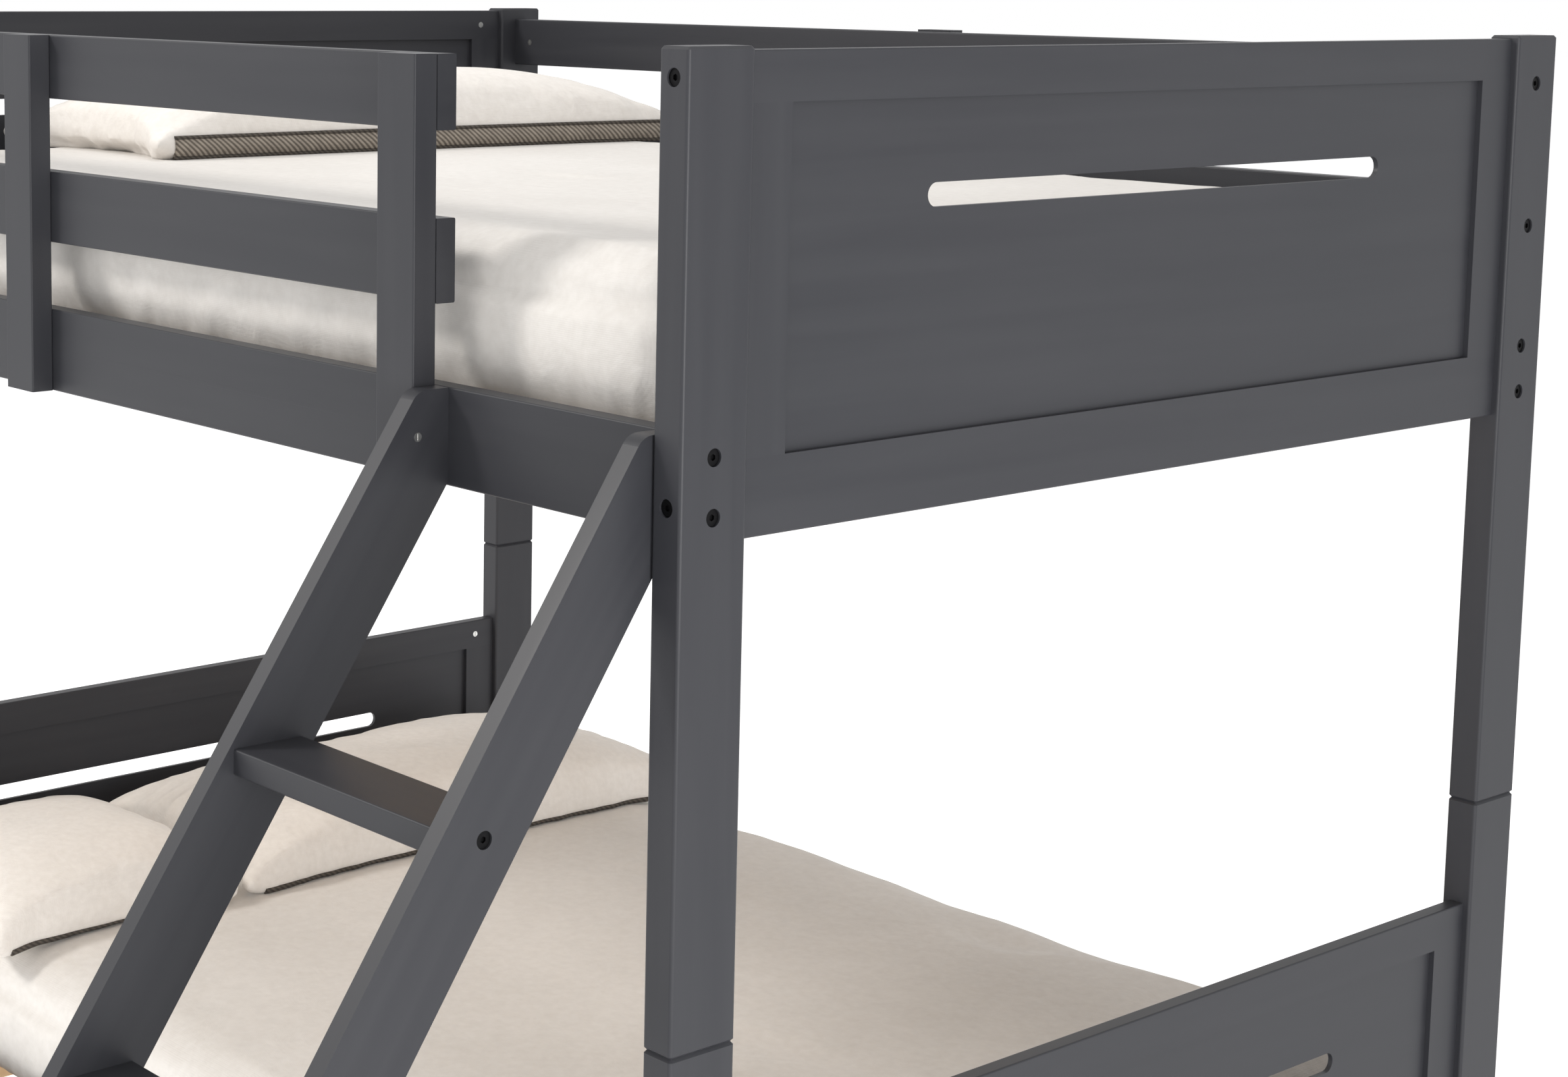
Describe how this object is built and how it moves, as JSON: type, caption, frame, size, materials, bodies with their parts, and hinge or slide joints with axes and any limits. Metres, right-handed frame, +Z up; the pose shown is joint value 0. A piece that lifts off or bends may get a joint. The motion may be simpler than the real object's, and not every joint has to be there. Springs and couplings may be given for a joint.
{
  "type": "bunk bed with ladder",
  "caption": "Full-over-full wooden bunk bed with framed end panels, guard rails, slatted decks, made-up bedding and a sloped ladder.",
  "frame": {"origin": "on the floor, under the middle of the whole object with its ladder", "axes": "+Z up; +X towards the foot end, beside which the ladder stands; -Y towards the ladder side"},
  "size_m": [2.02, 2.4274, 1.74],
  "materials": {
    "grey_paint": "satin slate-grey paint over solid wood",
    "plain_pine": "bare sanded pine",
    "black_bolt": "black oxide, satin",
    "bright_steel": "zinc plated",
    "bracket_steel": "zinc plated sheet",
    "glide_plastic": "matte",
    "bedding_cover": "soft brushed cream cover",
    "pillow_cotton": "woven cream cotton"
  },
  "bodies": {
    "lower_bed": {"floor_glides": "glide_plastic", "lower_barrel_nuts": "bright_steel", "lower_bolts": "black_bolt", "lower_centre_beam": "plain_pine", "lower_centre_legs": "plain_pine", "lower_foot_bottom_rail": "grey_paint", "lower_foot_panel": "grey_paint", "lower_foot_panel_stiles": "grey_paint", "lower_foot_top_rail": "grey_paint", "lower_head_bottom_rail": "grey_paint", "lower_head_panel": "grey_paint", "lower_head_panel_stiles": "grey_paint", "lower_head_top_rail": "grey_paint", "lower_post_foot_front": "grey_paint", "lower_post_foot_rear": "grey_paint", "lower_post_head_front": "grey_paint", "lower_post_head_rear": "grey_paint", "lower_side_rail_front": "grey_paint", "lower_side_rail_rear": "grey_paint", "lower_slat_cleats": "plain_pine", "lower_slats": "plain_pine", "lower_wood_screws": "bright_steel", "post_pins": "bright_steel"},
    "upper_bed": {"front_guard_end_post": "grey_paint", "front_guard_middle_board": "grey_paint", "front_guard_middle_post": "grey_paint", "front_guard_top_board": "grey_paint", "ladder_stile_left": "grey_paint", "ladder_stile_right": "grey_paint", "ladder_treads": "grey_paint", "rear_guard_centre_post": "grey_paint", "rear_guard_middle_board": "grey_paint", "rear_guard_top_board": "grey_paint", "upper_barrel_nuts": "bright_steel", "upper_beam_brackets": "bracket_steel", "upper_bolts": "black_bolt", "upper_centre_beam": "plain_pine", "upper_foot_bottom_rail": "grey_paint", "upper_foot_panel": "grey_paint", "upper_foot_panel_stiles": "grey_paint", "upper_foot_top_rail": "grey_paint", "upper_head_bottom_rail": "grey_paint", "upper_head_panel": "grey_paint", "upper_head_panel_stiles": "grey_paint", "upper_head_top_rail": "grey_paint", "upper_post_foot_front": "grey_paint", "upper_post_foot_rear": "grey_paint", "upper_post_head_front": "grey_paint", "upper_post_head_rear": "grey_paint", "upper_side_rail_front": "grey_paint", "upper_side_rail_rear": "grey_paint", "upper_slat_cleats": "plain_pine", "upper_slats": "plain_pine", "upper_wood_screws": "bright_steel"},
    "lower_mattress_body": {"lower_mattress": "bedding_cover"},
    "lower_pillow_front_body": {"lower_pillow_front": "pillow_cotton"},
    "lower_pillow_rear_body": {"lower_pillow_rear": "pillow_cotton"},
    "upper_mattress_body": {"upper_mattress": "bedding_cover"},
    "upper_pillow_body": {"upper_pillow": "pillow_cotton"}
  },
  "joints": [
    {"name": "upper_bed_lift", "type": "slide", "parent": "lower_bed", "child": "upper_bed", "axis": [0, 0, 1], "range_m": [0, 0.12]},
    {"name": "lower_mattress_lift", "type": "slide", "parent": "lower_bed", "child": "lower_mattress_body", "axis": [0, 0, 1], "range_m": [0, 0.3]},
    {"name": "lower_pillow_front_lift", "type": "slide", "parent": "lower_mattress_body", "child": "lower_pillow_front_body", "axis": [0, 0, 1], "range_m": [0, 0.15]},
    {"name": "lower_pillow_rear_lift", "type": "slide", "parent": "lower_mattress_body", "child": "lower_pillow_rear_body", "axis": [0, 0, 1], "range_m": [0, 0.15]},
    {"name": "upper_mattress_lift", "type": "slide", "parent": "upper_bed", "child": "upper_mattress_body", "axis": [0, 0, 1], "range_m": [0, 0.42]},
    {"name": "upper_pillow_lift", "type": "slide", "parent": "upper_mattress_body", "child": "upper_pillow_body", "axis": [0, 0, 1], "range_m": [0, 0.15]}
  ]
}
